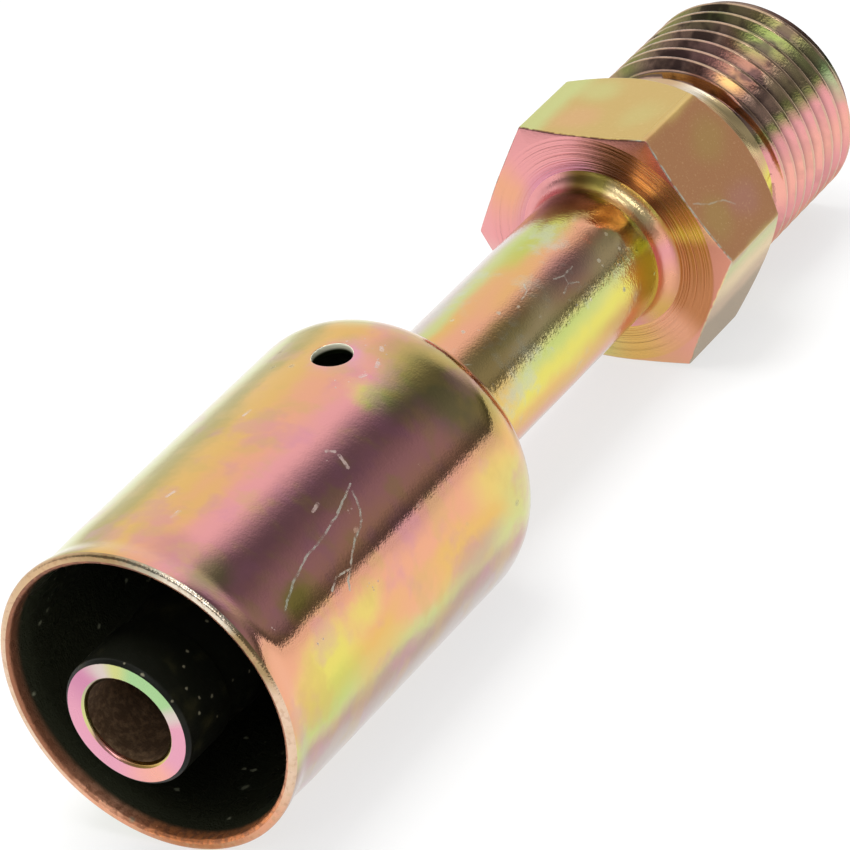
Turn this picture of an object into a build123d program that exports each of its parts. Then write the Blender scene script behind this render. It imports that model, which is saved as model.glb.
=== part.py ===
"""Crimp hose fitting: a one-piece steel stem and a loose shell captured on it.

The axis of the fitting is X. The origin is on the axis where the full male thread starts, at
the relief beside the hex, +X points out of the threaded end and -X out of the hose end. +Z is
up: one flat of the hex faces up and one faces down, as the fitting lies on a bench. Sizes are
in mm.
"""
from build123d import *
import os
from math import cos, radians, sin, sqrt, tan

# Male thread, its relief beside the hex and its end chamfer
thread_diameter = 19.05
thread_length = 12.7
thread_end_chamfer = 0.7
relief_length = 3.4
relief_depth = 1.1

# Hex, with a steep turned chamfer on the thread side and a shallow one on the tube side
hex_across_flats = 20.64
hex_length = 9.9
hex_face_diameter = 20.4
thread_side_angle = 45.0
tube_side_angle = 15.0

# Bare tube between the hex and the shell
tube_diameter = 12.0
neck_length = 29.0
neck_fillet = 1.2

# Flow passage
bore_diameter = 7.1
bore_chamfer = 0.35

# Nipple that the hose is pushed over, with saw-tooth grip rings
nipple_diameter = 10.8
nipple_reach = 2.5
nipple_chamfer = 0.3
collar_length = 5.0
barb_count = 4
barb_pitch = 6.0
barb_depth = 0.45
barb_land = 2.0
barb_setback = 5.5

# Shell that is crimped over the hose
shell_diameter = 25.0
shell_wall = 0.9
shell_length = 38.1
shell_end_radius = 5.4
end_cones = 2
lip_diameter = 25.6
lip_length = 1.3
lip_edge_break = 0.25
sight_hole_diameter = 3.2
sight_hole_setback = 8.8
sight_hole_lean = 3.5

# Seat of the shell in the staking groove of the stem
groove_depth = 1.0
seat_clearance = 0.05

# Places along the axis, all worked out from the sizes above
thread_end_x = thread_length
hex_front_x = -relief_length
hex_back_x = hex_front_x - hex_length
shell_back_x = hex_back_x - neck_length
mouth_x = shell_back_x - shell_length
tip_x = mouth_x - nipple_reach
seat_x = shell_back_x - shell_wall
collar_x = seat_x - collar_length

# Radii
thread_radius = thread_diameter / 2
relief_radius = thread_radius - relief_depth
tube_radius = tube_diameter / 2
nipple_radius = nipple_diameter / 2
bore_radius = bore_diameter / 2
groove_radius = tube_radius - groove_depth
shell_radius = shell_diameter / 2
lip_radius = lip_diameter / 2
hex_corner_radius = hex_across_flats / sqrt(3)


def turned(face):
    """Turn a profile drawn in the XZ plane about the fitting's axis."""
    return revolve(face, axis=Axis.X)


def closed_profile(edges):
    """Make a flat face in the XZ plane from edges given end to end in X and Z."""
    return make_face(Plane.XZ * Wire(edges))


def outline(points):
    """Straight edges through points of distance along the axis and radius."""
    return [Line(a, b) for a, b in zip(points[:-1], points[1:])]


def barb_points():
    """Saw-tooth rings: each rises from its groove to a land and drops straight back."""
    points = []
    for ring in range(barb_count):
        drop_x = tip_x + barb_setback + ring * barb_pitch
        rise_x = drop_x + barb_pitch - barb_land
        points += [
            (drop_x, nipple_radius),
            (drop_x, nipple_radius - barb_depth),
            (rise_x, nipple_radius),
        ]
    return points


def stem_outline():
    """Outer profile from the tip of the nipple to the tube's meeting with the hex."""
    fillet_x = hex_back_x - neck_fillet
    neck_points = [
        (tip_x, 0),
        (tip_x, nipple_radius - nipple_chamfer),
        (tip_x + nipple_chamfer, nipple_radius),
        *barb_points(),
        (collar_x, nipple_radius),
        (collar_x + tube_radius - nipple_radius, tube_radius),
        (seat_x, tube_radius),
        (seat_x, groove_radius),
        (shell_back_x + seat_clearance, groove_radius),
        (shell_back_x + seat_clearance, tube_radius),
        (fillet_x, tube_radius),
    ]
    fillet_middle = (
        fillet_x + neck_fillet * sin(radians(45)),
        tube_radius + neck_fillet * (1 - cos(radians(45))),
    )
    fillet_end = (hex_back_x, tube_radius + neck_fillet)
    end_points = [
        fillet_end,
        (hex_front_x, tube_radius + neck_fillet),
        (hex_front_x, 0),
        (tip_x, 0),
    ]
    fillet = ThreePointArc(neck_points[-1], fillet_middle, fillet_end)
    return outline(neck_points) + [fillet] + outline(end_points)


def hex_body():
    """Hexagonal prism cut by a turned envelope that chamfers both of its ends."""
    flats = RegularPolygon(radius=hex_across_flats / 2, side_count=6, major_radius=False)
    with_flat_up = Plane(origin=(hex_back_x, 0, 0), x_dir=(0, 1, 0), z_dir=(1, 0, 0))
    prism = extrude(with_flat_up * flats, amount=hex_length)
    face_radius = hex_face_diameter / 2
    overshoot = hex_corner_radius + 1 - face_radius
    envelope = outline([
        (hex_back_x, 0),
        (hex_back_x, face_radius),
        (hex_back_x + overshoot * tan(radians(tube_side_angle)), face_radius + overshoot),
        (hex_front_x - overshoot * tan(radians(thread_side_angle)), face_radius + overshoot),
        (hex_front_x, face_radius),
        (hex_front_x, 0),
        (hex_back_x, 0),
    ])
    return prism & turned(closed_profile(envelope))


def thread_blank():
    """Threaded end at its major diameter, with the relief groove beside the hex."""
    points = [
        (hex_front_x, 0),
        (hex_front_x, relief_radius),
        (0, relief_radius),
        (0, thread_radius),
        (thread_end_x - thread_end_chamfer, thread_radius),
        (thread_end_x, thread_radius - thread_end_chamfer),
        (thread_end_x, 0),
        (hex_front_x, 0),
    ]
    return turned(closed_profile(outline(points)))


def flow_passage():
    """Drill of the passage, with a countersink at each of its mouths."""
    wide = bore_radius + bore_chamfer
    points = [
        (tip_x, 0),
        (tip_x, wide),
        (tip_x + bore_chamfer, bore_radius),
        (thread_end_x - bore_chamfer, bore_radius),
        (thread_end_x, wide),
        (thread_end_x, 0),
        (tip_x, 0),
    ]
    return turned(closed_profile(outline(points)))


def make_stem():
    """Nipple, tube, hex and threaded end, turned from one bar and drilled through."""
    nipple_and_tube = turned(closed_profile(stem_outline()))
    return nipple_and_tube + hex_body() + thread_blank() - flow_passage()


def inner_end_points(corner_x, corner_radius):
    """Cones that follow the inside of the round end, from the shell's wall to its seat."""
    radius = shell_end_radius - shell_wall
    points = []
    for step in range(end_cones + 1):
        turn = radians(90) * step / end_cones
        points.append((corner_x + radius * sin(turn), corner_radius + radius * cos(turn)))
    return points


def make_shell():
    """Deep cup with a belled lip, a round closed end and a hole staked onto the stem."""
    hole_radius = groove_radius + seat_clearance
    inner_radius = shell_radius - shell_wall
    lip_inner_radius = lip_radius - shell_wall
    lip_start_x = mouth_x + lip_length
    lip_edge_x = mouth_x + lip_edge_break
    corner_x = shell_back_x - shell_end_radius
    corner_radius = shell_radius - shell_end_radius
    half_turn = radians(45)
    arc_middle = (
        corner_x + shell_end_radius * sin(half_turn),
        corner_radius + shell_end_radius * cos(half_turn),
    )
    points = [
        (corner_x, shell_radius),
        (lip_start_x, shell_radius),
        (lip_edge_x, lip_radius),
        (mouth_x, lip_radius - lip_edge_break),
        (mouth_x, lip_inner_radius + lip_edge_break),
        (lip_edge_x, lip_inner_radius),
        (lip_start_x, inner_radius),
        *inner_end_points(corner_x, corner_radius),
        (seat_x, hole_radius),
        (shell_back_x, hole_radius),
        (shell_back_x, corner_radius),
    ]
    round_end = ThreePointArc(points[-1], arc_middle, points[0])
    return turned(closed_profile(outline(points) + [round_end])) - sight_hole()


def sight_hole():
    """Drill for the hole that shows whether the hose is pushed fully home."""
    hole_x = shell_back_x - sight_hole_setback
    drill_plane = Plane(
        origin=(hole_x, 0, 0),
        z_dir=(0, -sin(radians(sight_hole_lean)), cos(radians(sight_hole_lean))),
    )
    start = shell_radius - 2 * shell_wall
    drill = Cylinder(sight_hole_diameter / 2, 4 * shell_wall, align=(Align.CENTER, Align.CENTER, Align.MIN))
    return drill_plane * Pos(0, 0, start) * drill


def main():
    os.makedirs("parts", exist_ok=True)
    parts = {"stem": make_stem(), "shell": make_shell()}
    for name, part in parts.items():
        export_step(part, f"parts/{name}.step")
        print(name, "volume", round(part.volume, 2), "solids", len(part.solids()))


main()
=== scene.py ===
"""Looks of the crimp hose fitting: detailed stem and shell, yellow zinc plate, studio and camera.

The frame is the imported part's: the fitting's axis is X, +X out of the threaded end, +Z up.
Lengths are written in millimetres and become metres when a mesh, lamp or camera is made.
"""

import bpy
import bmesh
from math import asin, atan2, cos, hypot, pi, radians, sin, tan
import numpy as np
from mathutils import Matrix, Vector

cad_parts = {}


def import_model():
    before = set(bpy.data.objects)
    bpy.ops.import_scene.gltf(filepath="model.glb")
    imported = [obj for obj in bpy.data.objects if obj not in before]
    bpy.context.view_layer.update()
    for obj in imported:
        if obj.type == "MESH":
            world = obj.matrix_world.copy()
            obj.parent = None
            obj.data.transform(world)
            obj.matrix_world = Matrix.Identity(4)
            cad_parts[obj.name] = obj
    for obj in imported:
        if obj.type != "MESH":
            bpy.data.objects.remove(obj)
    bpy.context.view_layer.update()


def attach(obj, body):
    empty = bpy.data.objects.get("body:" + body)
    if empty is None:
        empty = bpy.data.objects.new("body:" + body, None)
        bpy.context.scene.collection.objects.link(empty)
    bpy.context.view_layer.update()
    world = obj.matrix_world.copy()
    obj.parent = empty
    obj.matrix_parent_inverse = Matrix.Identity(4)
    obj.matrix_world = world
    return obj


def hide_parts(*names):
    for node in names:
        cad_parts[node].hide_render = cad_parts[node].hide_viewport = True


MM = 0.001

# Places along the axis and radii, the same as in the solids
THREAD_END = 12.7
THREAD_RADIUS = 9.525
THREAD_PITCH = 1.5875
THREAD_DEPTH = 0.6134 * THREAD_PITCH
THREAD_END_CHAMFER = 0.7
THREAD_START_STEEPNESS = 3.0
CREST_PLACE = 9.21
RELIEF_RADIUS = 8.425
RELIEF_SLOPE_LENGTH = 2.05
RELIEF_RISE = 0.54
HEX_FRONT = -3.4
HEX_BACK = -13.3
HEX_APOTHEM = 10.32
HEX_FACE_RADIUS = 10.2
HEX_EDGE_ROUND = 0.22
FRONT_CHAMFER = radians(45)
BACK_CHAMFER = radians(15)
TUBE_RADIUS = 6.0
NECK_FILLET = 1.2
GROOVE_RADIUS = 5.0
GROOVE_FRONT = -42.25
SEAT = -43.2
COLLAR = -48.2
NIPPLE_RADIUS = 5.4
NIPPLE_TIP = -82.9
NIPPLE_CHAMFER = 0.3
BARB_COUNT = 4
BARB_PITCH = 6.0
BARB_DEPTH = 0.45
BARB_LAND = 2.0
BARB_SETBACK = 5.5
BORE_RADIUS = 3.55
BORE_CHAMFER = 0.35

SHELL_BACK = -42.3
SHELL_MOUTH = -80.4
SHELL_RADIUS = 12.5
SHELL_WALL = 0.9
SHELL_HOLE_RADIUS = 5.05
SHELL_END_ROUND = 5.4
LIP_RADIUS = 12.8
LIP_ROUND = 0.32
FLARE_LENGTH = 2.7
WAIST_LENGTH = 3.3
WAIST_DEPTH = 0.08
SIGHT_HOLE_X = -51.1
SIGHT_HOLE_RADIUS = 1.6
SIGHT_HOLE_ANGLE = radians(93.5)
SIGHT_HOLE_EDGE = 0.12
PATCH_HALF_WIDTH = 3.2
PATCH_CELLS = 16

# Fineness of the meshes
ANGLE_STEPS = 240
ROUND_STEPS = 4
WELD_DISTANCE = 2e-4

# Camera: found by fitting the outline of the photograph
CAMERA_PLACE = (-348.534, -239.220, 219.620)
CAMERA_TURN = (59.98771, 11.01948, -58.42798)
CAMERA_LENS = 245.647

# Studio: compass turn and half spread of the bright wall, in degrees, and the floor
WALL_TURN = 50
WALL_SPREAD = 60
ROOM_LEVELS = [
    (0.0, 1.0), (0.06, 1.0), (0.08, 0.1), (0.12, 0.1), (0.18, 0.18), (0.27, 0.3), (0.36, 0.3),
    (0.44, 0.28), (0.52, 0.23), (0.6, 0.19), (0.72, 0.21), (0.9, 0.5), (0.955, 0.6),
    (0.965, 1.6), (1.0, 1.6),
]
FLOOR_REACH = 1500
FLOOR_GAP = 0.02


# Profiles

def rounded(points, steps=ROUND_STEPS):
    """Round the corners of a profile.

    A point is (x, radius, rounding, zone). x and radius may be numbers or one value per angle.
    The result is a list of (x, radius, zone) rings, and a zone covers what follows its ring.
    """
    rings = []
    for index, (x, r, rounding, zone) in enumerate(points):
        if rounding == 0 or index in (0, len(points) - 1):
            rings.append((x, r, zone))
            continue
        x_before, r_before = points[index - 1][:2]
        x_after, r_after = points[index + 1][:2]
        zone_before = points[index - 1][3]
        into = difference(x_before, x, r_before, r)
        out = difference(x_after, x, r_after, r)
        into_length = np.maximum(np.hypot(*into), 1e-9)
        out_length = np.maximum(np.hypot(*out), 1e-9)
        reach = np.minimum(rounding, 0.45 * np.minimum(into_length, out_length))
        start = into / into_length * reach
        end = out / out_length * reach
        for step in range(steps + 1):
            t = step / steps
            offset_x = (1 - t) ** 2 * start[0] + t ** 2 * end[0]
            offset_r = (1 - t) ** 2 * start[1] + t ** 2 * end[1]
            rings.append((x + offset_x, r + offset_r, zone_before if step < steps / 2 else zone))
    return rings


def difference(x_end, x_start, r_end, r_start):
    """Step from one place of a profile to another, as two rows of one value per angle."""
    along = np.atleast_1d(np.subtract(x_end, x_start))
    out = np.atleast_1d(np.subtract(r_end, r_start))
    return np.array(np.broadcast_arrays(along, out), dtype=float)


def arc(x, r, radius, start, end, steps, zone):
    """Rings along a circular arc about (x, r), from one angle to another."""
    turns = np.linspace(start, end, steps + 1)
    return [(x + radius * cos(t), r + radius * sin(t), zone) for t in turns]


def hex_radius(angles):
    """Distance from the axis to the side of a hex with slightly rounded corners."""
    off_flat = (angles - pi / 2 + pi / 6) % (pi / 3) - pi / 6
    flat = HEX_APOTHEM / np.cos(off_flat)
    off_corner = (angles - pi / 2) % (pi / 3) - pi / 6
    centre = (HEX_APOTHEM - HEX_EDGE_ROUND) / cos(pi / 6)
    inside = np.maximum(HEX_EDGE_ROUND ** 2 - (centre * np.sin(off_corner)) ** 2, 0)
    round_part = centre * np.cos(off_corner) + np.sqrt(inside)
    last_on_round = atan2(HEX_EDGE_ROUND / 2, centre + HEX_EDGE_ROUND * cos(pi / 6))
    return np.where(np.abs(off_corner) < last_on_round, round_part, flat)


def thread_rings(angles):
    """Rings that follow the helix of a right-hand thread, run out at both of its ends."""
    half_crest = 0.07 * THREAD_PITCH
    half_root = 0.09 * THREAD_PITCH
    half_pitch = THREAD_PITCH / 2
    form = [
        (-half_pitch, THREAD_DEPTH),
        (-half_pitch + half_root * 0.6, THREAD_DEPTH * 0.985),
        (-half_pitch + half_root * 1.4, THREAD_DEPTH * 0.90),
        (-half_crest * 1.5, THREAD_DEPTH * 0.07),
        (-half_crest * 0.7, 0),
        (half_crest * 0.7, 0),
        (half_crest * 1.5, THREAD_DEPTH * 0.07),
        (half_pitch - half_root * 1.4, THREAD_DEPTH * 0.90),
        (half_pitch - half_root * 0.6, THREAD_DEPTH * 0.985),
    ]
    form_x = np.array([x for x, depth in form] + [half_pitch])
    form_depth = np.array([depth for x, depth in form] + [THREAD_DEPTH])
    lead = THREAD_PITCH * angles / (2 * pi)
    first_crest = CREST_PLACE - THREAD_PITCH * 10
    rings = []
    for turn in range(14):
        for x, depth in form:
            place = np.clip(first_crest + turn * THREAD_PITCH + x + lead, 0, THREAD_END)
            phase = (place - lead - first_crest + half_pitch) % THREAD_PITCH - half_pitch
            radius = THREAD_RADIUS - np.interp(phase, form_x, form_depth)
            start_cone = RELIEF_RADIUS + THREAD_START_STEEPNESS * place
            end_cone = THREAD_RADIUS - THREAD_END_CHAMFER + THREAD_END - place
            rings.append((place, np.minimum(radius, np.minimum(start_cone, end_cone)), "thread"))
    return rings


def barb_points():
    """Saw-tooth grip rings of the nipple, from the collar out to the tip."""
    points = []
    for ring in reversed(range(BARB_COUNT)):
        drop = NIPPLE_TIP + BARB_SETBACK + ring * BARB_PITCH
        rise = drop + BARB_PITCH - BARB_LAND
        points += [
            (rise, NIPPLE_RADIUS, 0.1, "nipple"),
            (drop, NIPPLE_RADIUS - BARB_DEPTH, 0.08, "nipple"),
            (drop, NIPPLE_RADIUS, 0.08, "nipple"),
        ]
    return points


def stem_rings(angles):
    """Whole closed profile of the stem, from the bore round the thread, hex and nipple."""
    side = hex_radius(angles)
    over = np.maximum(side - HEX_FACE_RADIUS, 0)
    front_edge = HEX_FRONT - over * tan(FRONT_CHAMFER)
    back_edge = HEX_BACK + over * tan(BACK_CHAMFER)
    end_bore = rounded([
        (NIPPLE_TIP + BORE_CHAMFER, BORE_RADIUS, 0, "bore"),
        (THREAD_END - BORE_CHAMFER, BORE_RADIUS, 0.1, "bore"),
        (THREAD_END, BORE_RADIUS + BORE_CHAMFER, 0.08, "end"),
        (THREAD_END, RELIEF_RADIUS - 0.2, 0, "end"),
    ])
    thread = list(reversed(thread_rings(angles)))
    hex_part = rounded([
        (0, RELIEF_RADIUS, 0, "relief"),
        (-RELIEF_SLOPE_LENGTH, RELIEF_RADIUS + RELIEF_RISE, 0.2, "relief"),
        (HEX_FRONT, RELIEF_RADIUS + RELIEF_RISE, 0.35, "front"),
        (HEX_FRONT, HEX_FACE_RADIUS, 0.06, "front"),
        (front_edge, side, 0.12, "flats"),
        (back_edge, side, 0.14, "face"),
        (HEX_BACK, HEX_FACE_RADIUS, 0.05, "face"),
        (HEX_BACK, TUBE_RADIUS + NECK_FILLET, 0, "neck"),
    ])
    fillet = arc(HEX_BACK - NECK_FILLET, TUBE_RADIUS + NECK_FILLET, NECK_FILLET,
                 -0.1, -pi / 2, 12, "neck")
    tube = rounded([
        (HEX_BACK - NECK_FILLET - 0.2, TUBE_RADIUS, 0, "tube"),
        (GROOVE_FRONT, TUBE_RADIUS, 0.08, "tube"),
        (GROOVE_FRONT, GROOVE_RADIUS, 0, "tube"),
        (SEAT, GROOVE_RADIUS, 0, "tube"),
        (SEAT, TUBE_RADIUS, 0.08, "nipple"),
        (COLLAR + TUBE_RADIUS - NIPPLE_RADIUS, TUBE_RADIUS, 0.08, "nipple"),
        (COLLAR, NIPPLE_RADIUS, 0.08, "nipple"),
        *barb_points(),
        (NIPPLE_TIP + NIPPLE_CHAMFER, NIPPLE_RADIUS, 0.12, "nipple"),
        (NIPPLE_TIP, NIPPLE_RADIUS - NIPPLE_CHAMFER, 0.12, "tip"),
        (NIPPLE_TIP, BORE_RADIUS + BORE_CHAMFER, 0.1, "relief"),
        (NIPPLE_TIP + BORE_CHAMFER, BORE_RADIUS, 0, "bore"),
    ])
    return end_bore + thread + hex_part + fillet + tube


def shell_rings():
    """Closed profile of the shell, from the hole in its end over the outside to the inside."""
    corner_x = SHELL_BACK - SHELL_END_ROUND
    corner_r = SHELL_RADIUS - SHELL_END_ROUND
    inner_round = SHELL_END_ROUND - SHELL_WALL
    inner_radius = SHELL_RADIUS - SHELL_WALL
    lip_x = SHELL_MOUTH + LIP_ROUND
    outside = rounded([
        (SEAT, SHELL_HOLE_RADIUS, 0, "outside"),
        (SHELL_BACK, SHELL_HOLE_RADIUS, 0.15, "outside"),
        (SHELL_BACK, corner_r, 0, "outside"),
    ])
    outside += arc(corner_x, corner_r, SHELL_END_ROUND, 0.08, pi / 2, 18, "outside")
    patch_places = np.linspace(PATCH_HALF_WIDTH, -PATCH_HALF_WIDTH, PATCH_CELLS + 1)
    outside += [(SIGHT_HOLE_X + x, SHELL_RADIUS, "outside") for x in patch_places]
    waist = np.linspace(SHELL_MOUTH + FLARE_LENGTH + WAIST_LENGTH, lip_x, 25)
    swell = waist_and_flare(waist, lip_x)
    outside += [(x, SHELL_RADIUS + s, "outside") for x, s in zip(waist[:-1], swell)]
    rim = arc(lip_x, LIP_RADIUS - LIP_ROUND, LIP_ROUND, pi / 2, pi, 6, "rim")
    rim_inner = LIP_RADIUS - SHELL_WALL + LIP_ROUND
    rim += arc(lip_x, rim_inner, LIP_ROUND, pi, 3 * pi / 2, 6, "inside")
    inside = [(x, inner_radius + s, "inside") for x, s in zip(waist[::-1], swell[::-1])]
    inside += [(SIGHT_HOLE_X + x, inner_radius, "inside") for x in patch_places[::-1]]
    inside += arc(corner_x, corner_r, inner_round, pi / 2, 0, 10, "inside")
    inside += [(SEAT, SHELL_HOLE_RADIUS, "inside")]
    return outside + rim + inside


def waist_and_flare(x, lip_x):
    """How far the shell's wall lies outside its plain radius near the mouth: a waist, a flare."""
    into_waist = smooth_step((SHELL_MOUTH + FLARE_LENGTH + WAIST_LENGTH - x) / WAIST_LENGTH)
    flare_start = SHELL_MOUTH + FLARE_LENGTH
    into_flare = smooth_step((flare_start - x) / (flare_start - lip_x))
    return (LIP_RADIUS - SHELL_RADIUS + WAIST_DEPTH) * into_flare - WAIST_DEPTH * into_waist


def smooth_step(share):
    """0 below 0, 1 above 1 and a soft rise between them."""
    share = np.clip(share, 0, 1)
    return share ** 2 * (3 - 2 * share)


# Meshes

def hex_angles():
    """Even steps about the axis, with extra ones where the corners of the hex are rounded."""
    angles = list(np.arange(ANGLE_STEPS) * 2 * pi / ANGLE_STEPS)
    near_corner = radians(1) * np.array([-0.9, -0.6, -0.3, 0.3, 0.6, 0.9])
    for corner in range(6):
        angles += list((corner * pi / 3 + near_corner) % (2 * pi))
    return np.array(sorted(angles))


def shell_angles():
    """Steps about the axis that fit the patch round the sight hole."""
    half = asin(PATCH_HALF_WIDTH / SHELL_RADIUS)
    patch = np.linspace(-half, half, PATCH_CELLS + 1)
    rest = np.linspace(half, 2 * pi - half, ANGLE_STEPS - PATCH_CELLS)[1:-1]
    return SIGHT_HOLE_ANGLE + np.concatenate([patch, rest])


def skin(rings, angles, left_out=()):
    """Points and faces of a closed surface through rings about the X axis."""
    angles = np.append(angles, angles[0] + 2 * pi)
    count = len(angles)
    points = []
    faces = []
    zones = []
    for x, r, zone in rings:
        x_all = np.broadcast_to(x, count)
        r_all = np.broadcast_to(r, count)
        points.append(np.stack([x_all, r_all * np.cos(angles), r_all * np.sin(angles)], axis=1))
    for ring in range(len(rings)):
        after = (ring + 1) % len(rings)
        for column in range(count - 1):
            if (ring, column) in left_out:
                continue
            faces.append((
                ring * count + column,
                ring * count + column + 1,
                after * count + column + 1,
                after * count + column,
            ))
            zones.append(rings[ring][2])
    return np.concatenate(points), faces, zones


def make_object(name, points, faces, zones, materials):
    """Mesh object from points in mm, welded, smooth, with each zone's material on its faces."""
    mesh = bpy.data.meshes.new(name)
    mesh.from_pydata((points * MM).tolist(), [], faces)
    used = []
    for zone in zones:
        if materials[zone] not in used:
            used.append(materials[zone])
    for material in used:
        mesh.materials.append(material)
    mesh.polygons.foreach_set("material_index", [used.index(materials[zone]) for zone in zones])
    made = bpy.data.objects.new(name, mesh)
    bpy.context.scene.collection.objects.link(made)
    weld_and_smooth(mesh)
    weights = made.modifiers.new("weighted normals", "WEIGHTED_NORMAL")
    weights.weight = 60
    return made


def weld_and_smooth(mesh):
    """Join the points that meet, drop empty faces and turn all faces outwards."""
    work = bmesh.new()
    work.from_mesh(mesh)
    bmesh.ops.remove_doubles(work, verts=work.verts, dist=WELD_DISTANCE * MM)
    bmesh.ops.dissolve_degenerate(work, edges=work.edges, dist=WELD_DISTANCE * MM)
    bmesh.ops.recalc_face_normals(work, faces=work.faces)
    work.to_mesh(mesh)
    work.free()
    mesh.shade_smooth()


def stem_mesh(materials):
    """The stem: nipple with its grip rings, tube, hex and helical thread, as one surface."""
    angles = hex_angles()
    closed_angles = np.append(angles, angles[0] + 2 * pi)
    points, faces, zones = skin(stem_rings(closed_angles), angles)
    return make_object("stem_detailed", points, faces, zones, materials)


def shell_mesh(materials):
    """The shell: a belled cup with its round end and its sight hole, as one surface."""
    angles = shell_angles()
    rings = shell_rings()
    half = asin(PATCH_HALF_WIDTH / SHELL_RADIUS)
    columns = range(PATCH_CELLS)
    outer = patch_rows(rings, SHELL_RADIUS)
    inner = patch_rows(rings, SHELL_RADIUS - SHELL_WALL)
    left_out = {(row, column) for row in outer + inner for column in columns}
    points, faces, zones = skin(rings, angles, left_out)
    hole_points, hole_faces = sight_hole_faces(half)
    faces += [tuple(index + len(points) for index in face) for face in hole_faces]
    for face in hole_faces:
        on_skin = all(hypot(*hole_points[index][1:]) > SHELL_RADIUS - 0.3 * SIGHT_HOLE_EDGE for index in face)
        zones.append("outside" if on_skin else "hole")
    points = np.concatenate([points, hole_points])
    return make_object("shell_detailed", points, faces, zones, materials)


def patch_rows(rings, radius):
    """Numbers of the rings at this radius whose faces the sight hole's patch replaces."""
    rows = []
    for index, (x, r, zone) in enumerate(rings[:-1]):
        x_after, r_after = rings[index + 1][:2]
        inside = abs(x - SIGHT_HOLE_X) < PATCH_HALF_WIDTH + 0.01
        inside_after = abs(x_after - SIGHT_HOLE_X) < PATCH_HALF_WIDTH + 0.01
        if inside and inside_after and abs(r - radius) < 0.01 and abs(r_after - radius) < 0.01:
            rows.append(index)
    return rows


def sight_hole_faces(half):
    """Faces from the square in the outer skin, over the rounded edge, to the inner skin."""
    side = np.linspace(-1, 1, PATCH_CELLS + 1)
    square = [(s, -1) for s in side[:-1]] + [(1, s) for s in side[:-1]]
    square += [(s, 1) for s in side[:0:-1]] + [(-1, s) for s in side[:0:-1]]
    loops = []
    for radius, shares in ((SHELL_RADIUS, (0, 0.3, 0.6, 0.85)), (SHELL_RADIUS - SHELL_WALL, (0.9, 0.5, 0))):
        for share in shares:
            loop = []
            for along, about in square:
                u = along * PATCH_HALF_WIDTH
                v = radius * sin(about * half)
                reach = SIGHT_HOLE_RADIUS + SIGHT_HOLE_EDGE
                scale = 1 - share * (1 - reach / hypot(u, v))
                loop.append((u * scale, v * scale, radius))
            loops.append(loop)
        if share == 0.85:
            for step in range(5):
                bend = step / 4 * pi / 2
                reach = SIGHT_HOLE_RADIUS + SIGHT_HOLE_EDGE * (1 - sin(bend))
                drop = SIGHT_HOLE_EDGE * (1 - cos(bend))
                loops.append([
                    (
                        u / hypot(u, v) * reach,
                        v / hypot(u, v) * reach,
                        SHELL_RADIUS - drop,
                    )
                    for u, v, radius in loops[0]
                ])
    loops.insert(-3, [
        (u / hypot(u, v) * SIGHT_HOLE_RADIUS, v / hypot(u, v) * SIGHT_HOLE_RADIUS, SHELL_RADIUS - SHELL_WALL)
        for u, v, radius in loops[-1]
    ])
    points = []
    for loop in loops:
        for u, v, radius in loop:
            angle = SIGHT_HOLE_ANGLE + asin(v / radius)
            points.append((SIGHT_HOLE_X + u, radius * cos(angle), radius * sin(angle)))
    count = len(square)
    faces = []
    for loop in range(len(loops) - 1):
        for index in range(count):
            after = (index + 1) % count
            faces.append((
                loop * count + index,
                loop * count + after,
                (loop + 1) * count + after,
                (loop + 1) * count + index,
            ))
    return np.array(points), faces


# Materials

TINTS = {
    "lavender": (212, 196, 188),
    "straw": (204, 206, 134),
    "olive": (178, 162, 84),
    "gold": (226, 182, 104),
    "salmon": (232, 168, 134),
    "pink": (230, 158, 158),
    "mauve": (190, 132, 140),
    "rust": (186, 112, 74),
    "lemon": (224, 214, 104),
    "lime": (180, 204, 96),
    "green": (122, 140, 76),
    "brown": (126, 98, 62),
    "grey": (176, 170, 150),
    "umber": (128, 84, 66),
    "cream": (240, 214, 160),
    "moss": (150, 148, 92),
    "tan": (186, 152, 134),
    "cloud": (204, 188, 180),
    "brass": (208, 177, 106),
    "clay": (183, 130, 88),
    "sand": (208, 174, 134),
    "drab": (164, 138, 98),
    "copper": (194, 130, 86),
    "bronze": (122, 96, 48),
    "frost": (196, 204, 190),
    "pearl": (232, 220, 200),
    "chestnut": (168, 112, 84),
    "orchid": (206, 138, 168),
    "flame": (246, 156, 100),
    "peach": (240, 172, 156),
    "blush": (226, 196, 170),
    "rose": (226, 160, 180),
    "mint": (164, 202, 144),
    "acid": (196, 228, 92),
    "walnut": (140, 99, 84),
}


def linear(red, green, blue):
    """Linear colour of an 8-bit display colour."""
    parts = [value / 255 for value in (red, green, blue)]
    return tuple(v / 12.92 if v <= 0.04045 else ((v + 0.055) / 1.055) ** 2.4 for v in parts) + (1,)


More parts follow.
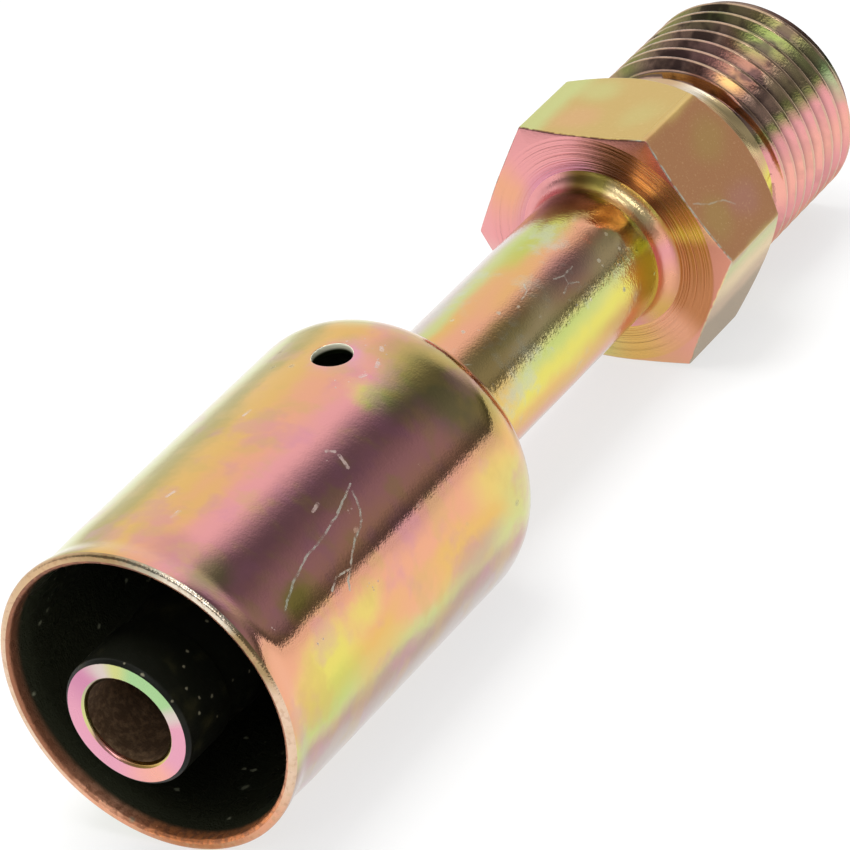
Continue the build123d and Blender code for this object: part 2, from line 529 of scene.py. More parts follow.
class Paint:
    """Short words for the shader nodes of one material or world."""

    def __init__(self, tree):
        self.tree = tree

    def node(self, kind, inputs=None, **settings):
        """Add a node, set its properties, and fill its inputs with values or outputs."""
        made = self.tree.nodes.new("ShaderNode" + kind)
        for key, value in settings.items():
            setattr(made, key, value)
        for socket, value in (inputs or {}).items():
            self.fill(made.inputs[socket], value)
        return made

    def fill(self, socket, value):
        if isinstance(value, bpy.types.NodeSocket):
            self.tree.links.new(value, socket)
        else:
            socket.default_value = value

    def maths(self, operation, *values, clamp=False):
        made = self.node("Math", dict(enumerate(values)), operation=operation, use_clamp=clamp)
        return made.outputs[0]

    def vector(self, operation, *values):
        made = self.node("VectorMath", dict(enumerate(values)), operation=operation)
        single = operation in ("LENGTH", "DISTANCE", "DOT_PRODUCT")
        return made.outputs["Value" if single else "Vector"]

    def split(self, vector):
        return self.node("SeparateXYZ", {0: vector}).outputs

    def stretch(self, vector, scale):
        return self.vector("MULTIPLY", vector, scale)

    def noise(self, vector, scale, detail=2.0, roughness=0.5, output="Fac"):
        inputs = {"Vector": vector, "Scale": scale, "Detail": detail, "Roughness": roughness}
        return self.node("TexNoise", inputs).outputs[output]

    def fade(self, value, start, end, low=0.0, high=1.0):
        """Smooth step from low at start to high at end."""
        inputs = {"Value": value, "From Min": start, "From Max": end, "To Min": low, "To Max": high}
        return self.node("MapRange", inputs, interpolation_type="SMOOTHSTEP").outputs[0]

    def mix(self, factor, first, second, blend="MIX"):
        made = self.node("Mix", data_type="RGBA", blend_type=blend)
        for socket, value in ((0, factor), (6, first), (7, second)):
            self.fill(made.inputs[socket], value)
        return made.outputs[2]

    def ramp(self, factor, stops, interpolation="EASE"):
        """Colour ramp with (place, colour) stops."""
        made = self.node("ValToRGB", {"Fac": factor})
        elements = made.color_ramp.elements
        made.color_ramp.interpolation = interpolation
        elements[0].position, elements[0].color = stops[0]
        elements[1].position, elements[1].color = stops[-1]
        for place, colour in stops[1:-1]:
            elements.new(place).color = colour
        return made.outputs["Color"]

    def turn(self, place):
        """Angle about the fitting's axis in turns, from +Y towards +Z."""
        axes = self.split(place)
        angle = self.maths("ARCTAN2", axes["Z"], axes["Y"])
        return self.maths("FRACT", self.maths("ADD", self.maths("DIVIDE", angle, 2 * pi), 1.0))

    def near_line(self, place, start, end, width):
        """1 on a line between two points in mm, falling to 0 at its half width."""
        first = Vector(start) * MM
        step = Vector(end) * MM - first
        offset = self.vector("SUBTRACT", place, tuple(first))
        along = self.maths("DIVIDE", self.vector("DOT_PRODUCT", offset, tuple(step)),
                           step.length_squared, clamp=True)
        scaled = self.node("VectorMath", {0: tuple(step), "Scale": along}, operation="SCALE").outputs[0]
        away = self.vector("DISTANCE", offset, scaled)
        return self.fade(away, 0.25 * width * MM, 0.5 * width * MM, 1.0, 0.0)


def on_axis(x, degrees, radius):
    """Point in mm at a place along the axis, an angle about it and a distance from it."""
    return (x, radius * cos(radians(degrees)), radius * sin(radians(degrees)))


def new_material(name):
    """Metal node material: its paint, its Principled shader and the object's coordinates."""
    material = bpy.data.materials.new(name)
    material.use_nodes = True
    paint = Paint(material.node_tree)
    shader = material.node_tree.nodes["Principled BSDF"]
    shader.inputs["Metallic"].default_value = 1.0
    place = paint.node("TexCoord").outputs["Object"]
    return material, paint, shader, place


def tint_bands(paint, place, bands):
    """Colours round the axis from (degrees, tint) pairs, closed from the last to the first."""
    stops = [(degrees / 360, linear(*TINTS[tint])) for degrees, tint in bands]
    return paint.ramp(paint.turn(place), stops + [(1.0, stops[0][1])])


def tint_patches(paint, place, colour, radius, patches):
    """Soft patches over a colour, each (x, degrees, half length, half width, tint, strength)."""
    for x, degrees, length, width, tint, strength in patches:
        centre = Vector(on_axis(x, degrees, radius)) * MM
        offset = paint.vector("SUBTRACT", place, tuple(centre))
        scaled = paint.stretch(offset, (1 / (length * MM), 1 / (width * MM), 1 / (width * MM)))
        factor = paint.fade(paint.vector("LENGTH", scaled), 0.25, 1.15, strength, 0.0)
        colour = paint.mix(factor, colour, linear(*TINTS[tint]))
    return colour


def wander(paint, place, size, reach):
    """The place pushed about by soft noise, so that bands and patches get natural edges."""
    noise = paint.noise(place, 1 / (size * MM), detail=2.0, output="Color")
    push = paint.vector("SUBTRACT", noise, (0.5, 0.5, 0.5))
    return paint.vector("ADD", place, paint.stretch(push, (reach * MM,) * 3))


def scratches(paint, place, colour, lines, width, tint, strength):
    """Pale crooked lines through lists of points in mm, with a broken, uneven edge."""
    crooked = wander(paint, place, 0.6, 0.25)
    mask = None
    for points in lines:
        for start, end in zip(points[:-1], points[1:]):
            line = paint.near_line(crooked, start, end, width)
            mask = line if mask is None else paint.maths("MAXIMUM", mask, line)
    broken = paint.fade(paint.noise(place, 1800.0, detail=3.0), 0.35, 0.6, 0.3, 1.0)
    mask = paint.maths("MULTIPLY", mask, paint.maths("MULTIPLY", broken, strength))
    return paint.mix(mask, colour, linear(*TINTS[tint])), mask


def specks(paint, place, size, share, where=None):
    """Mask of small scattered specks, and only where a given mask allows them."""
    cells = paint.node("TexVoronoi", {"Vector": wander(paint, place, 0.4, 0.3), "Scale": 1 / (size * MM)})
    chosen = paint.split(cells.outputs["Color"])[0]
    mask = paint.maths("MULTIPLY", paint.fade(cells.outputs["Distance"], 0.1, 0.3, 1.0, 0.0),
                       paint.maths("LESS_THAN", chosen, share))
    return mask if where is None else paint.maths("MULTIPLY", mask, where)


def finish_metal(paint, shader, place, colour, roughness, waves, grain, rough_spots=None, dents=None):
    """Link colour, uneven roughness, and a bump of soft waves, fine grain and masked dents."""
    paint.fill(shader.inputs["Base Color"], colour)
    cloud = paint.noise(place, 400.0, detail=3.0)
    rough = paint.fade(cloud, 0.3, 0.7, roughness * 0.8, roughness * 1.3)
    if rough_spots is not None:
        rough = paint.maths("MAXIMUM", rough, paint.maths("MULTIPLY", rough_spots, 0.6))
        paint.fill(shader.inputs["Metallic"], paint.fade(rough_spots, 0.0, 0.8, 1.0, 0.75))
    paint.fill(shader.inputs["Roughness"], rough)
    streaks = paint.noise(paint.stretch(place, (1.8, 1.0, 1.0)), 1300.0, detail=4.0, roughness=0.6)
    bump = paint.node("Bump", {"Height": streaks, "Strength": waves, "Distance": 0.0001})
    fine = paint.noise(place, 6000.0, detail=2.0)
    second = paint.node("Bump", {"Height": fine, "Strength": grain, "Distance": 0.00005,
                                 "Normal": bump.outputs["Normal"]})
    paint.fill(shader.inputs["Normal"], second.outputs["Normal"])
    if dents is not None:
        lumps = paint.maths("MULTIPLY", paint.noise(place, 520.0, detail=0.0), dents)
        dented = paint.node("Bump", {"Height": lumps, "Strength": 0.7, "Distance": 0.0005})
        paint.fill(bump.inputs["Normal"], dented.outputs["Normal"])


def painted_edge_light(paint, place, colour, nearness):
    """Edges of the hex: painted highlight on some edges and painted shade on the upper ones, broken up by noise.
    """
    broken = paint.fade(paint.noise(place, 1500.0, detail=3.0), 0.4, 0.56)
    mask = paint.maths("MULTIPLY", nearness, paint.maths("MULTIPLY", broken, 0.8))
    return paint.mix(mask, colour, tint_bands(paint, place, EDGE_LIGHT_BANDS))


def below_flat(paint, place):
    """Depth below the nearest flat of the hex."""
    across = []
    for degrees in (30, 90, 150):
        outwards = (0, cos(radians(degrees)), sin(radians(degrees)))
        across.append(paint.maths("ABSOLUTE", paint.vector("DOT_PRODUCT", place, outwards)))
    highest = paint.maths("MAXIMUM", across[0], paint.maths("MAXIMUM", across[1], across[2]))
    return paint.maths("SUBTRACT", HEX_APOTHEM * MM, highest)


# Colours of the hex's edges round the axis: painted shade (umber, 55 to 112 degrees) and painted highlight (frost
# and cream, 119 degrees on).
EDGE_LIGHT_BANDS = [
    (0, "grey"), (55, "umber"), (112, "umber"), (119, "frost"), (178, "frost"), (190, "cream"),
    (240, "grey"), (300, "cream"),
]
# Near-black colours that paint the shade on the nipple and inside the shell.
NIPPLE_PAINTED_SHADE = (0.006, 0.0064, 0.004, 1)
LINING_PAINTED_SHADE = (0.024, 0.026, 0.015, 1)

SHELL_BANDS = [
    (0, "pink"), (18, "gold"), (40, "lavender"), (60, "straw"), (74, "olive"), (86, "gold"),
    (99, "salmon"), (112, "pink"), (126, "mauve"), (140, "pink"), (154, "salmon"), (168, "salmon"),
    (180, "gold"), (190, "straw"), (201, "tan"), (213, "cloud"), (228, "lavender"), (270, "gold"),
    (295, "lime"), (318, "straw"), (340, "salmon"),
]
SHELL_PATCHES = [
    (-47.6, 92, 3.0, 2.6, "gold", 0.8),
    (-51.4, 94, 3.8, 3.4, "gold", 0.5),
    (-51.2, 96, 3.0, 2.7, "rose", 0.95),
    (-53.9, 114, 2.2, 2.0, "lemon", 0.6),
    (-53.6, 118, 2.8, 1.9, "lime", 0.7),
    (-52.3, 124, 3.6, 2.2, "moss", 0.6),
    (-50.0, 119, 3.0, 2.4, "lime", 0.5),
    (-48.2, 118, 3.4, 3.6, "olive", 0.8),
    (-48.6, 137, 4.4, 5.2, "moss", 0.85),
    (-56.1, 86, 6.0, 2.0, "gold", 0.8),
    (-57.7, 181, 4.5, 2.6, "gold", 0.8),
    (-49.1, 168, 5.0, 2.6, "lemon", 0.6),
    (-44.9, 88, 2.6, 4.0, "straw", 0.9),
    (-44.9, 108, 2.4, 3.0, "brass", 0.9),
    (-45.4, 126, 2.4, 2.6, "olive", 0.9),
    (-46.0, 146, 2.2, 3.0, "olive", 0.9),
    (-45.6, 158, 2.2, 2.0, "gold", 0.8),
    (-54.2, 188, 5.0, 2.0, "mauve", 0.55),
    (-47.0, 182, 4.0, 4.0, "straw", 0.8),
    (-73.9, 149, 2.6, 1.9, "olive", 0.95),
    (-77.6, 122, 2.6, 2.4, "moss", 0.7),
    (-77.3, 108, 2.6, 3.0, "mauve", 0.55),
    (-73.7, 172, 5.5, 2.6, "lemon", 0.9),
    (-74.3, 184, 5.5, 2.2, "lime", 0.5),
    (-67.8, 168, 2.6, 1.5, "lemon", 0.7),
    (-62.3, 180, 4.0, 2.4, "salmon", 0.8),
    (-67.8, 188, 5.0, 2.0, "gold", 0.7),
    (-76.7, 207, 6.0, 2.0, "lavender", 0.5),
    (-71.4, 99, 5.0, 1.6, "gold", 0.7),
    (-59.8, 158, 9.0, 1.6, "mauve", 0.4),
]
SHELL_SCRATCH = [
    (-62.2, 133.7), (-64.2, 136.2), (-65.5, 138.0), (-67.2, 139.3), (-68.8, 140.2),
    (-70.1, 140.2), (-71.4, 141.8), (-72.8, 143.3), (-74.3, 146.0), (-75.2, 148.0),
]
SHELL_BRANCH = [
    (-62.6, 136.0), (-63.3, 141.8), (-64.3, 146.1), (-65.6, 147.9), (-66.9, 151.2),
    (-67.6, 153.9), (-69.3, 152.5), (-70.4, 154.7),
]
SHELL_TWIG = [(-67.6, 153.9), (-68.6, 156.5), (-68.8, 159.1)]
SHELL_ARC = [
    (-48.7, 93.2), (-48.7, 99.7), (-48.5, 106.8), (-49.5, 108.8), (-50.7, 110.3), (-51.8, 110.3),
    (-52.9, 105.9), (-53.8, 104.6), (-54.5, 104.9),
]
SHELL_CLUSTERS = [
    SHELL_ARC, [(-61.2, 121.0), (-62.4, 123.5)], [(-63.9, 140.0), (-65.0, 142.5)],
    [(-76.2, 148.5), (-76.8, 148.8)], [(-73.2, 162.5), (-74.0, 163.5)], [(-66.2, 164.0), (-66.8, 164.5)],
]
SHELL_NICKS = [
    [(-48.6, 106.4), (-48.9, 107.6)],
    [(-50.3, 109.9), (-50.8, 110.5)],
    [(-52.1, 110.0), (-52.5, 109.0)],
    [(-61.1, 119.8), (-60.7, 122.0)],
    [(-60.7, 124.2), (-61.2, 129.3)],
    [(-66.7, 131.3), (-65.8, 130.8)],
    [(-74.1, 96.5), (-73.2, 97.0)],
    [(-71.8, 87.5), (-71.1, 88.5)],
    [(-60.4, 84.5), (-59.7, 85.0)],
]


def shell_plate():
    """Plating of the shell, with its patches of tint, the long scratch, nicks and specks."""
    material, paint, shader, place = new_material("shell_plate")
    loose = wander(paint, place, 7.0, 2.8)
    loose = wander(paint, loose, 1.6, 0.6)
    loose = wander(paint, loose, 0.6, 0.7)
    colour = tint_bands(paint, loose, SHELL_BANDS)
    colour = tint_patches(paint, loose, colour, SHELL_RADIUS, SHELL_PATCHES)
    rosy = paint.fade(paint.noise(place, 280.0, detail=4.0), 0.5, 0.68, 0.0, 0.35)
    colour = paint.mix(rosy, colour, linear(*TINTS["orchid"]))
    golden = paint.fade(paint.noise(paint.stretch(place, (1.5, 1.2, 1.0)), 240.0, detail=4.0), 0.5, 0.68, 0.0, 0.4)
    colour = paint.mix(golden, colour, linear(*TINTS["brass"]))
    lines = [
        [on_axis(x, degrees, SHELL_RADIUS) for x, degrees in line]
        for line in [SHELL_SCRATCH, SHELL_BRANCH, SHELL_TWIG]
    ]
    colour, scratch = scratches(paint, place, colour, lines, 0.26, "frost", 0.75)
    nicks = [[on_axis(x, degrees, SHELL_RADIUS) for x, degrees in line] for line in SHELL_NICKS]
    colour, nick = scratches(paint, place, colour, nicks, 0.4, "lavender", 0.7)
    fleck_places = None
    for cluster in SHELL_CLUSTERS:
        points = [on_axis(x, degrees, SHELL_RADIUS) for x, degrees in cluster]
        for start, end in zip(points[:-1], points[1:]):
            near = paint.near_line(place, start, end, 1.3)
            fleck_places = near if fleck_places is None else paint.maths("MAXIMUM", fleck_places, near)
    flecks = specks(paint, place, 0.4, 0.45, fleck_places)
    colour = paint.mix(paint.maths("MULTIPLY", flecks, 0.7), colour, linear(*TINTS["cloud"]))
    dust = specks(paint, place, 1.3, 0.05, paint.fade(paint.noise(place, 150.0), 0.45, 0.6))
    colour = paint.mix(paint.maths("MULTIPLY", dust, 0.5), colour, linear(*TINTS["grey"]))
    marks = paint.maths("MAXIMUM", paint.maths("MAXIMUM", scratch, nick), paint.maths("MAXIMUM", flecks, dust))
    finish_metal(paint, shader, place, colour, 0.09, 0.1, 0.12, marks)
    return material


# Round the inside of the mouth: chestnut and umber above, salmon and flame below, a painted glow on the lower
# side.
LINING_BANDS_AND_GLOW = [
    (0, "chestnut"), (50, "umber"), (90, "umber"), (150, "umber"), (180, "chestnut"),
    (200, "salmon"), (225, "flame"), (275, "flame"), (300, "salmon"), (330, "chestnut"),
]


def lining():
    """Inside of the shell: plated at the very mouth, with a painted glow (salmon, flame) on its lower side, and
    painted shade, near black, within a millimetre of it.
    """
    material, paint, shader, place = new_material("shell_lining")
    axes = paint.split(place)
    depth = paint.fade(axes["X"], (SHELL_MOUTH + 0.3) * MM, (SHELL_MOUTH + 1.3) * MM)
    mottle = paint.fade(paint.noise(place, 1700.0, detail=3.0), 0.42, 0.62, 0.0, 0.75)
    plated = paint.mix(mottle, tint_bands(paint, place, LINING_BANDS_AND_GLOW), linear(*TINTS["chestnut"]))
    # Painted shade, near black, from a millimetre into the mouth.
    colour = paint.mix(depth, plated, LINING_PAINTED_SHADE)
    dust = specks(paint, wander(paint, place, 1.5, 1.0), 1.1, 0.16)
    colour = paint.mix(paint.maths("MULTIPLY", dust, 0.7), colour, linear(170, 172, 146))
    finish_metal(paint, shader, place, colour, 0.26, 0.6, 1.0)
    paint.fill(shader.inputs["Metallic"], paint.fade(depth, 0.0, 1.0, 0.5, 0.0))
    shader.inputs["Specular IOR Level"].default_value = 0.15
    return material


def hole_painted_light():
    """Wall of the sight hole: a painted highlight at its edge and painted shade, green-black, below."""
    material, paint, shader, place = new_material("sight_hole_painted_light")
    axes = paint.split(place)
    flat_place = paint.node("CombineXYZ", {1: axes["Y"], 2: axes["Z"]}).outputs[0]
    height = paint.vector("LENGTH", flat_place)
    # Painted highlight near the outer surface, painted shade deeper in.
    edge = paint.fade(height, (SHELL_RADIUS - 0.62) * MM, (SHELL_RADIUS - 0.36) * MM)
    colour = paint.mix(edge, linear(40, 54, 20), linear(255, 252, 226))
    finish_metal(paint, shader, place, colour, 0.4, 0.2, 0.3)
    paint.fill(shader.inputs["Metallic"], paint.fade(edge, 0.0, 1.0, 0.6, 0.0))
    return material


# Pearl from 114 to 136 degrees is a painted highlight.
RIM_BANDS_AND_HIGHLIGHT = [
    (0, "blush"), (60, "sand"), (90, "drab"), (106, "grey"), (114, "pearl"), (136, "pearl"),
    (143, "drab"), (158, "drab"), (168, "blush"), (200, "blush"), (225, "salmon"), (260, "copper"),
    (300, "salmon"), (335, "blush"),
]


def rim_plate():
    """Rounded rim of the lip: plating rubbed to pale metal, a painted highlight (pearl) at its upper right, and
    small glints.
    """
    material, paint, shader, place = new_material("rim_plate")
    colour = tint_bands(paint, wander(paint, place, 2.5, 1.4), RIM_BANDS_AND_HIGHLIGHT)
    rubbed = paint.fade(paint.noise(place, 1500.0, detail=4.0), 0.4, 0.75, 0.0, 0.5)
    colour = paint.mix(rubbed, colour, linear(*TINTS["sand"]))
    stained = paint.fade(paint.noise(place, 2300.0, detail=4.0), 0.52, 0.65, 0.0, 0.25)
    colour = paint.mix(stained, colour, linear(*TINTS["chestnut"]))
    finish_metal(paint, shader, place, colour, 0.16, 0.45, 0.6)
    return material


def nipple_painted_shade():
    """Outside of the nipple: painted shade, as dark as the inside of the shell round it."""
    material, paint, shader, place = new_material("nipple_shade")
    cloud = paint.noise(place, 500.0, detail=3.0)
    colour = paint.mix(paint.fade(cloud, 0.55, 0.8, 0.0, 0.3), NIPPLE_PAINTED_SHADE, linear(70, 66, 40))
    dust = specks(paint, place, 0.6, 0.12)
    colour = paint.mix(paint.maths("MULTIPLY", dust, 0.35), colour, linear(196, 188, 158))
    finish_metal(paint, shader, place, colour, 0.35, 0.3, 0.3)
    shader.inputs["Metallic"].default_value = 0.0
    shader.inputs["Specular IOR Level"].default_value = 0.15
    return material


TUBE_BANDS = [
    (0, "gold"), (25, "salmon"), (47, "lavender"), (64, "lavender"), (80, "straw"), (94, "gold"),
    (108, "salmon"), (122, "salmon"), (136, "cream"), (150, "cream"), (162, "straw"), (178, "lemon"),
    (196, "gold"), (212, "salmon"), (228, "lavender"), (260, "gold"), (300, "pink"), (335, "straw"),
]
TUBE_PATCHES_AND_LIGHT = [
    (-38.0, 112, 6.0, 2.4, "salmon", 0.7),
    (-34.0, 130, 6.0, 1.6, "olive", 0.6),
    (-38.0, 148, 5.0, 2.2, "brass", 0.7),
    (-24.0, 132, 4.5, 2.0, "mauve", 0.7),
    (-25.0, 148, 4.0, 1.4, "salmon", 0.5),
    (-28.0, 158, 8.0, 1.8, "lime", 0.4),
    (-39.0, 168, 4.0, 2.4, "gold", 0.7),
    (-22.0, 93, 7.0, 2.0, "lime", 0.7),
    (-28.0, 108, 6.0, 1.4, "gold", 0.6),
    (-31.0, 96, 5.0, 1.4, "salmon", 0.5),
    # Next to the hex: bronze patches are painted shade, and the lemon patch is a painted reflection of the bright
    # fillet.
    (-15.4, 78, 2.2, 4.2, "bronze", 0.95),
    (-17.4, 96, 1.6, 2.4, "bronze", 0.6),
    (-15.8, 126, 2.4, 3.4, "lemon", 0.7),
    (-15.2, 160, 2.2, 2.6, "acid", 0.9),
    (-15.4, 180, 2.6, 3.6, "acid", 0.85),
    (-15.6, 206, 3.0, 3.4, "acid", 0.7),
    (-17.0, 70, 2.6, 2.6, "bronze", 0.5),
]
TUBE_DENTS = (-16.2, 125)
TUBE_MARKS = [
    [(-41.2, 118.0), (-39.4, 124.0), (-38.6, 130.0)],
    [(-25.6, 128.0), (-24.6, 132.0), (-24.9, 138.0), (-23.9, 143.0)],
    [(-24.6, 132.0), (-23.2, 131.0)],
    [(-24.9, 138.0), (-26.0, 141.0)],
    [(-29.6, 122.0), (-28.4, 120.0), (-28.0, 114.0)],
]


def tube_plate():
    """Plating of the bare tube: bands of tint along it, specks and fine marks; painted shade and a painted
    reflection next to the hex, and painted glint and shade specks along its dark reflected band.
    """
    material, paint, shader, place = new_material("tube_plate")
    loose = wander(paint, place, 6.0, 2.2)
    loose = wander(paint, loose, 1.2, 0.4)
    colour = tint_bands(paint, loose, TUBE_BANDS)
    colour = tint_patches(paint, loose, colour, TUBE_RADIUS, TUBE_PATCHES_AND_LIGHT)
    cloudy = paint.noise(place, 260.0, detail=4.0, roughness=0.65)
    colour = paint.mix(paint.fade(cloudy, 0.52, 0.72, 0.0, 0.5), colour, linear(*TINTS["frost"]))
    dust = specks(paint, place, 0.9, 0.14, paint.fade(paint.noise(place, 200.0), 0.45, 0.6))
    colour = paint.mix(paint.maths("MULTIPLY", dust, 0.6), colour, linear(*TINTS["frost"]))
    # Dark and pale specks along the edge of the tube's dark reflected band: painted shade and painted glints.
    turn = paint.turn(place)
    edge = paint.maths("MULTIPLY", paint.fade(turn, 0.41, 0.43), paint.fade(turn, 0.435, 0.455, 1.0, 0.0))
    shade_specks = specks(paint, place, 0.5, 0.4, edge)
    colour = paint.mix(paint.maths("MULTIPLY", shade_specks, 0.8), colour, linear(*TINTS["bronze"]))
    glint_specks = specks(paint, place, 0.6, 0.3, edge)
    colour = paint.mix(paint.maths("MULTIPLY", glint_specks, 0.7), colour, linear(*TINTS["pearl"]))
    marks = [[on_axis(x, degrees, TUBE_RADIUS) for x, degrees in line] for line in TUBE_MARKS]
    colour, mark = scratches(paint, place, colour, marks, 0.2, "frost", 0.55)
    rough = paint.maths("MAXIMUM", paint.maths("MAXIMUM", dust, mark), paint.fade(cloudy, 0.5, 0.75, 0.0, 0.35))
    dented = paint.vector("DISTANCE", place, tuple(Vector(on_axis(*TUBE_DENTS, TUBE_RADIUS)) * MM))
    dents = paint.fade(dented, 1.2 * MM, 3.4 * MM, 1.0, 0.0)
    uneven = paint.fade(edge, 0.0, 1.0, 0.12, 0.6)
    finish_metal(paint, shader, place, colour, 0.12, uneven, 0.3, rough, dents)
    return material


# Bronze and olive (84 to 104 degrees) are painted shade; cream (114 to 142 degrees) is a painted highlight.
NECK_BANDS_AND_LIGHT = [
    (0, "pink"), (60, "pink"), (84, "bronze"), (104, "olive"), (114, "cream"), (142, "cream"),
    (158, "salmon"), (172, "pink"), (200, "salmon"), (226, "gold"), (262, "pink"), (310, "gold"),
]


def neck_plate():
    """Small fillet between tube and hex: painted shade above (bronze, olive), a painted highlight (cream) at its
    upper right, pink beside.
    """
    material, paint, shader, place = new_material("neck_plate")
    colour = tint_bands(paint, wander(paint, place, 2.0, 0.6), NECK_BANDS_AND_LIGHT)
    finish_metal(paint, shader, place, colour, 0.3, 0.3, 0.35)
    return material


# Pearl and cream from 112 to 156 degrees are a painted highlight.
RELIEF_BANDS_AND_HIGHLIGHT = [
    (0, "straw"), (60, "grey"), (95, "sand"), (112, "pearl"), (126, "cream"), (144, "cream"), (156, "cream"),
    (165, "sand"), (178, "lemon"), (200, "straw"), (260, "gold"), (310, "pink"),
]


def relief_plate():
    """Turned floor of the thread's relief: pale plating over fine rings, with a painted highlight (pearl, cream)
    at its upper right.
    """
    material, paint, shader, place = new_material("relief_plate")
    colour = tint_bands(paint, wander(paint, place, 3.0, 1.0), RELIEF_BANDS_AND_HIGHLIGHT)
    along = paint.split(place)["X"]
    rings = paint.node("TexNoise", {"W": along, "Scale": 6000.0, "Detail": 1.0}, noise_dimensions="1D")
    paint.fill(shader.inputs["Base Color"], colour)
    shader.inputs["Roughness"].default_value = 0.2
    bump = paint.node("Bump", {"Height": rings.outputs["Fac"], "Strength": 0.5, "Distance": 0.00008})
    paint.fill(shader.inputs["Normal"], bump.outputs["Normal"])
    return material


# Chestnut on the upper part (108 to 154 degrees) is painted shade; salmon between (126 to 134 degrees) is a
# painted highlight streak.
FACE_BANDS_AND_LIGHT = [
    (0, "pink"), (30, "salmon"), (50, "pink"), (68, "pink"), (80, "pink"), (108, "chestnut"),
    (118, "chestnut"), (126, "salmon"), (134, "salmon"), (144, "chestnut"), (154, "copper"),
    (164, "gold"), (174, "copper"), (212, "copper"), (230, "salmon"), (260, "gold"),
    (290, "straw"), (320, "pink"), (340, "lavender"),
]
# Umber and chestnut patches next to the neck are painted shade; the pink one is tint.
FACE_PATCHES_AND_SHADE = [
    (-13.3, 112, 3.0, 1.9, "umber", 0.75),
    (-13.3, 126, 3.0, 1.5, "umber", 0.75),
    (-13.3, 142, 3.0, 1.7, "umber", 0.75),
    (-13.3, 154, 3.0, 1.4, "chestnut", 0.6),
    (-13.3, 78, 3.0, 1.6, "pink", 0.8),
]


def face_plate():
    """Turned face of the hex: fine rings cut by the tool, inside a smooth chamfer, with painted shade and a
    painted highlight streak on its upper part.
    """
    material, paint, shader, place = new_material("hex_face_plate")
    loose = wander(paint, place, 5.0, 2.0)
    colour = tint_bands(paint, loose, FACE_BANDS_AND_LIGHT)
    axes = paint.split(place)
    flat_place = paint.node("CombineXYZ", {1: axes["Y"], 2: axes["Z"]}).outputs[0]
    radius = paint.vector("LENGTH", flat_place)
    colour = tint_patches(paint, loose, colour, TUBE_RADIUS + NECK_FILLET, FACE_PATCHES_AND_SHADE)
    corner = paint.fade(radius, 10.1 * MM, 10.35 * MM)
    colour = paint.mix(paint.maths("MULTIPLY", corner, 0.35), colour, linear(*TINTS["pink"]))
    near_neck = paint.fade(radius, 7.0 * MM, 8.6 * MM, 0.6, 0.0)
    left = paint.fade(paint.turn(place), 0.24, 0.28, 1.0, 0.0)
    colour = paint.mix(paint.maths("MULTIPLY", near_neck, left), colour, linear(*TINTS["orchid"]))
    rings = paint.node("TexNoise", {"W": radius, "Scale": 5200.0, "Detail": 2.0}, noise_dimensions="1D")
    cut = paint.maths("SUBTRACT", 1.0, corner)
    # Painted highlight and shade along the edges of the flats.
    nearness = paint.fade(below_flat(paint, place), 0.03 * MM, 0.14 * MM, 1.0, 0.0)
    colour = painted_edge_light(paint, place, colour, nearness)
    paint.fill(shader.inputs["Base Color"], colour)
    shader.inputs["Roughness"].default_value = 0.24
    bump = paint.node("Bump", {"Height": rings.outputs["Fac"], "Distance": 0.00012,
                               "Strength": paint.maths("MULTIPLY", cut, 0.8)})
    fine = paint.noise(place, 5000.0, detail=2.0)
    second = paint.node("Bump", {"Height": fine, "Strength": 0.15, "Distance": 0.00005,
                                 "Normal": bump.outputs["Normal"]})
    paint.fill(shader.inputs["Normal"], second.outputs["Normal"])
    return material


# From 184 to 238 degrees the lower flat runs from straw and cream down to drab: painted shade, darker towards the
# bottom.
FLAT_BANDS_AND_SHADE = [
    (0, "salmon"), (30, "gold"), (55, "straw"), (66, "straw"), (74, "brass"), (118, "brass"),
    (122, "clay"), (150, "clay"), (178, "clay"), (184, "straw"), (196, "cream"), (210, "sand"),
    (220, "drab"), (238, "drab"), (270, "gold"), (300, "pink"), (330, "straw"),
]
FLAT_SCRATCH = [(-12.6, 152.0), (-11.2, 157.0), (-9.6, 160.0), (-8.6, 165.0)]


